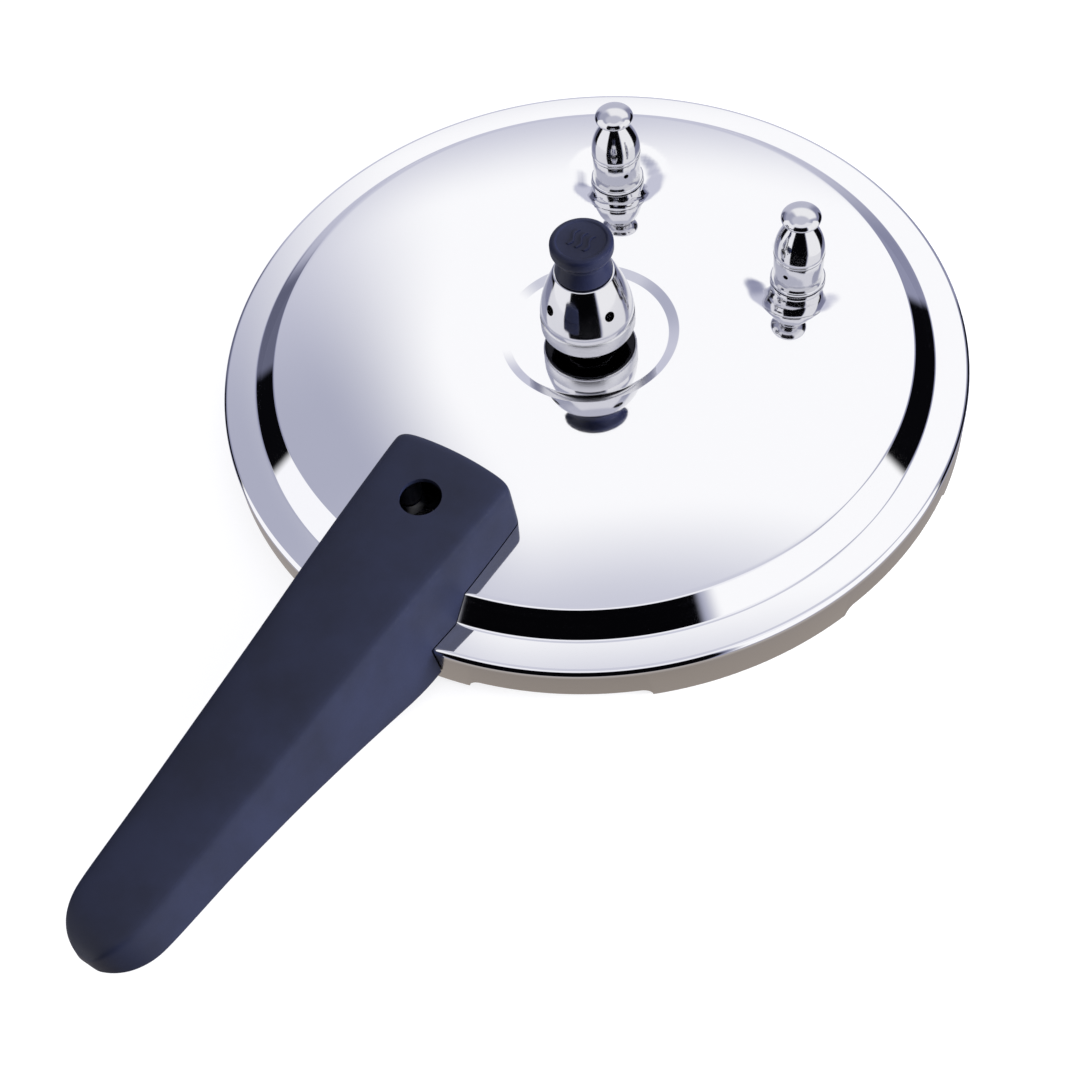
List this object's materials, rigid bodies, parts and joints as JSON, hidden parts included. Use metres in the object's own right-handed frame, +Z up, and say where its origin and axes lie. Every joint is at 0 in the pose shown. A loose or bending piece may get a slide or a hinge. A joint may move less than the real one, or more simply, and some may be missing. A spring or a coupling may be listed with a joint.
{
  "type": "pressure cooker lid",
  "caption": "Round steel pressure cooker lid with inturned bayonet lugs, long side handle, lift-off regulator weight, spring safety valves and a float valve",
  "frame": {"origin": "middle of the whole lid, handle included, on the level that its lugs stand on", "axes": "+Z up out of the lid along the vent tube, -Y along the handle away from the lid, +X to the handle's right seen from above"},
  "size_m": [0.25, 0.379, 0.0704],
  "materials": {
    "polished_steel": "mirror-polished stainless steel",
    "satin_steel": "turned and satin stainless steel",
    "spring_steel": "drawn spring wire",
    "bakelite": "fine-grained compression-moulded phenolic, near black with a blue cast",
    "silicone": "translucent pale silicone",
    "red_silicone": "iron-red silicone"
  },
  "bodies": {
    "lid": {"lid_shell": "polished_steel", "sealing_gasket": "silicone", "vent_tube": "satin_steel", "vent_tube_seal": "silicone", "vent_tube_nut": "satin_steel", "anti_clog_cap": "satin_steel", "safety_valve_a_seat": "polished_steel", "safety_valve_a_bonnet": "polished_steel", "safety_valve_a_spring": "spring_steel", "safety_valve_a_seal": "red_silicone", "safety_valve_a_nut": "satin_steel", "safety_valve_b_seat": "polished_steel", "safety_valve_b_bonnet": "polished_steel", "safety_valve_b_spring": "spring_steel", "safety_valve_b_seal": "red_silicone", "safety_valve_b_nut": "satin_steel", "float_sleeve": "satin_steel", "float_seal": "red_silicone", "float_nut": "satin_steel", "handle_grip": "bakelite", "handle_bracket": "satin_steel", "handle_bottom_cover": "bakelite", "handle_screw_left": "satin_steel", "handle_screw_right": "satin_steel", "handle_screw_bracket": "satin_steel", "handle_screw_cover": "satin_steel"},
    "regulator_core": {"regulator_needle": "satin_steel"},
    "regulator_head": {"regulator_weight": "polished_steel", "regulator_clip": "spring_steel", "regulator_knob": "bakelite"},
    "valve_a_stem": {"safety_valve_a_stem": "polished_steel"},
    "valve_b_stem": {"safety_valve_b_stem": "polished_steel"},
    "float": {"float_pin": "satin_steel", "float_pin_seal": "red_silicone"}
  },
  "joints": [
    {"name": "regulator_lift", "type": "slide", "parent": "lid", "child": "regulator_core", "axis": [0, 0, 1], "range_m": [0, 0.01]},
    {"name": "regulator_spin", "type": "hinge", "parent": "regulator_core", "child": "regulator_head", "pos_m": [0, 0.0645, 0.047], "axis": [0, 0, 1], "continuous": true},
    {"name": "safety_valve_a_pop", "type": "slide", "parent": "lid", "child": "valve_a_stem", "axis": [0, 0, 1], "range_m": [0, 0.0025], "stiffness_N_per_m": 800, "springref_m": -0.002, "deforming": ["safety_valve_a_spring"]},
    {"name": "safety_valve_b_pop", "type": "slide", "parent": "lid", "child": "valve_b_stem", "axis": [0, 0, 1], "range_m": [0, 0.0025], "stiffness_N_per_m": 800, "springref_m": -0.002, "deforming": ["safety_valve_b_spring"]},
    {"name": "float_rise", "type": "slide", "parent": "lid", "child": "float", "axis": [0, 0, 1], "range_m": [0, 0.004]}
  ]
}
